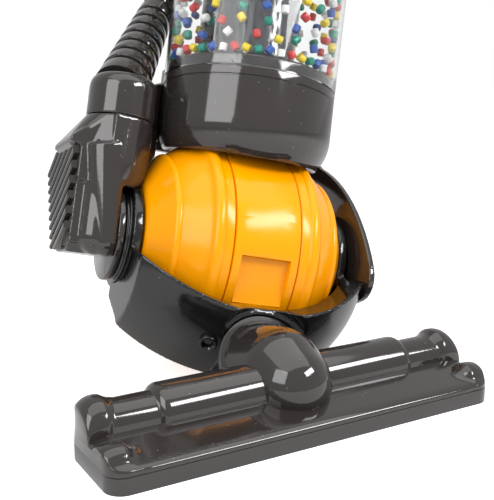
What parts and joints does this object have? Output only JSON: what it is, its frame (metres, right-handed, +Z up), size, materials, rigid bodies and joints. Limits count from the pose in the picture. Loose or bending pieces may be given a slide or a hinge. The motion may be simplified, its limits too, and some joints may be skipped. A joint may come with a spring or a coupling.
{
  "type": "toy vacuum cleaner",
  "caption": "Toy upright vacuum: floor head on a rolling neck, cradled ball with turning wheels, clear bin of pellets, ribbed hose, wand and loop handle.",
  "frame": {"origin": "middle of the floor head's sole, on the floor", "axes": "+Z up, +Y from the head's front edge back to the ball, +X to the right seen from behind the handle's front; metres"},
  "size_m": [0.2733, 0.3514, 0.4855],
  "materials": {
    "dark": "glossy dark grey moulding",
    "black": "black moulding",
    "amber": "glossy amber yellow moulding",
    "steel": "plain steel rod",
    "clear": "clear moulding",
    "smoke": "grey tinted moulding",
    "cell": "wrapped dry cell",
    "motor": "small motor can",
    "white": "white moulding",
    "red": "red moulding",
    "pellet_red": "red pellets",
    "pellet_yellow": "yellow pellets",
    "pellet_green": "green pellets",
    "pellet_blue": "blue pellets",
    "pellet_white": "white pellets"
  },
  "bodies": {
    "head": {"head_base": "dark", "head_shell": "dark", "neck_cowl": "dark"},
    "yoke": {"yoke": "dark", "neck_retainer": "black", "hub_cap_left": "black", "hub_cap_right": "black"},
    "upright": {"chassis": "dark", "cup": "dark", "bin_floor": "dark", "bin_cap": "dark", "carry_handle": "dark", "spine": "dark", "vent_housing": "dark", "vent_grille": "dark", "hose_collar": "dark", "hose": "dark", "wand": "dark", "grip": "dark", "battery_tray": "black", "wand_clamp": "black", "drum": "amber", "battery_door": "amber", "axle": "steel", "bin_tube": "clear", "cyclone": "smoke", "battery_cell_1": "cell", "battery_cell_2": "cell", "battery_cell_3": "cell", "battery_cell_4": "cell", "fan_motor": "motor", "swirl_motor": "motor", "pellets_red": "pellet_red", "pellets_yellow": "pellet_yellow", "pellets_green": "pellet_green", "pellets_blue": "pellet_blue", "pellets_white": "pellet_white"},
    "wheel_left": {"wheel_left": "amber"},
    "wheel_right": {"wheel_right": "amber"},
    "fan": {"fan": "white"},
    "swirl_rotor": {"swirl_rotor": "white"},
    "debris_drawer": {"debris_drawer": "amber"},
    "release_button": {"release_button": "black"},
    "power_switch": {"power_switch": "red"}
  },
  "joints": [
    {"name": "neck_roll", "type": "hinge", "parent": "head", "child": "yoke", "pos_m": [0, 0.0286, 0.0228], "axis": [0, -0.8231, 0.5678], "range_deg": [0, 29.4]},
    {"name": "recline", "type": "hinge", "parent": "yoke", "child": "upright", "pos_m": [0.02188, 0.1111, 0.06723], "axis": [-0.9673, 0.1441, 0.2089], "range_deg": [-10.8, 30]},
    {"name": "wheel_left_spin", "type": "hinge", "parent": "upright", "child": "wheel_left", "pos_m": [0.02188, 0.1111, 0.06723], "axis": [0.9673, -0.1441, -0.2089], "continuous": true},
    {"name": "wheel_right_spin", "type": "hinge", "parent": "upright", "child": "wheel_right", "pos_m": [0.02188, 0.1111, 0.06723], "axis": [0.9673, -0.1441, -0.2089], "continuous": true},
    {"name": "fan_spin", "type": "hinge", "parent": "upright", "child": "fan", "pos_m": [-0.06246, 0.14121, 0.10111], "axis": [0.9673, -0.1441, -0.2089], "continuous": true},
    {"name": "rotor_spin", "type": "hinge", "parent": "upright", "child": "swirl_rotor", "pos_m": [0.0434, 0.11888, 0.1615], "axis": [0.2322, 0.1704, 0.9576], "continuous": true},
    {"name": "drawer_slide", "type": "slide", "parent": "upright", "child": "debris_drawer", "axis": [0.1024, 0.9748, -0.1983], "range_m": [0, 0.035]},
    {"name": "button_press", "type": "slide", "parent": "upright", "child": "release_button", "axis": [-0.2322, -0.1704, -0.9576], "range_m": [0, 0.002], "stiffness_N_per_m": 600, "springref_m": -0.0005},
    {"name": "switch_slide", "type": "slide", "parent": "upright", "child": "power_switch", "axis": [0.4434, 0.3158, 0.8389], "range_m": [0, 0.005]}
  ]
}
